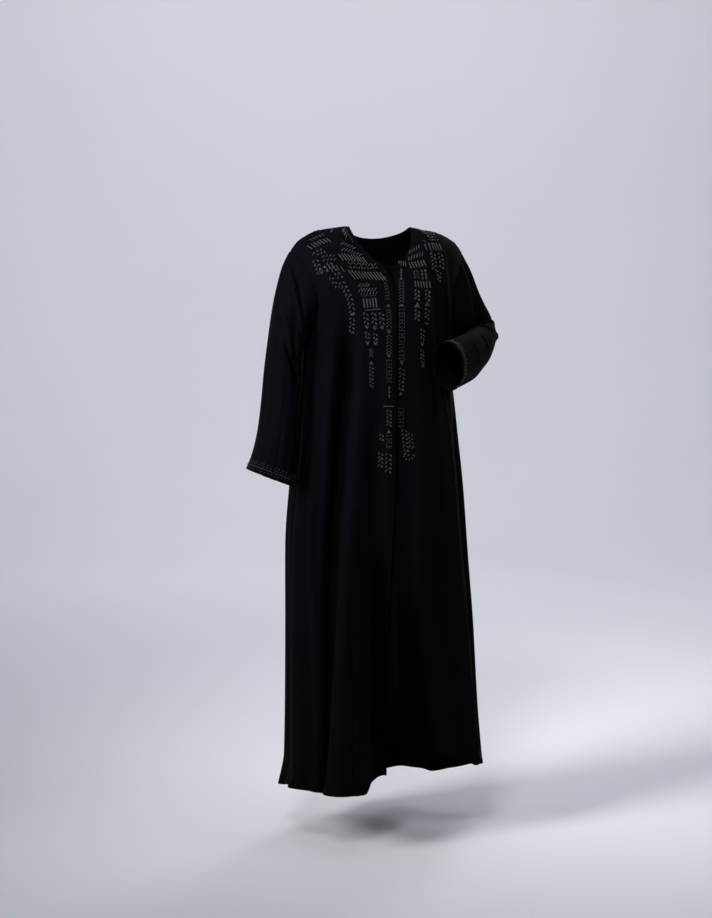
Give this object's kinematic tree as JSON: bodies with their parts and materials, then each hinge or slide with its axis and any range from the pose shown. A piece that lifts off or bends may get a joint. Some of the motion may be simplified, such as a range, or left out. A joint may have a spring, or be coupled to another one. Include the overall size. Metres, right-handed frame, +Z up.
{
  "type": "abaya cloak",
  "caption": "Long black crepe abaya, open down the front with the right front lapping over the left, straight sleeves, stitched yoke patterning, in its worn hollow form.",
  "frame": {"origin": "the base of the wearer's neck, midway between the two high shoulder points, where the wearer holds the garment up", "axes": "+Z up, -Y the way the wearer faces, +X the wearer's left"},
  "size_m": [0.6647, 0.4091, 1.4122],
  "materials": {
    "crepe": "matte black crepe with a soft sheen, tonal grey-black embroidery"
  },
  "bodies": {
    "root": {"back": "crepe", "front_left": "crepe", "front_right": "crepe", "sleeve_left": "crepe", "sleeve_right": "crepe"}
  },
  "joints": []
}
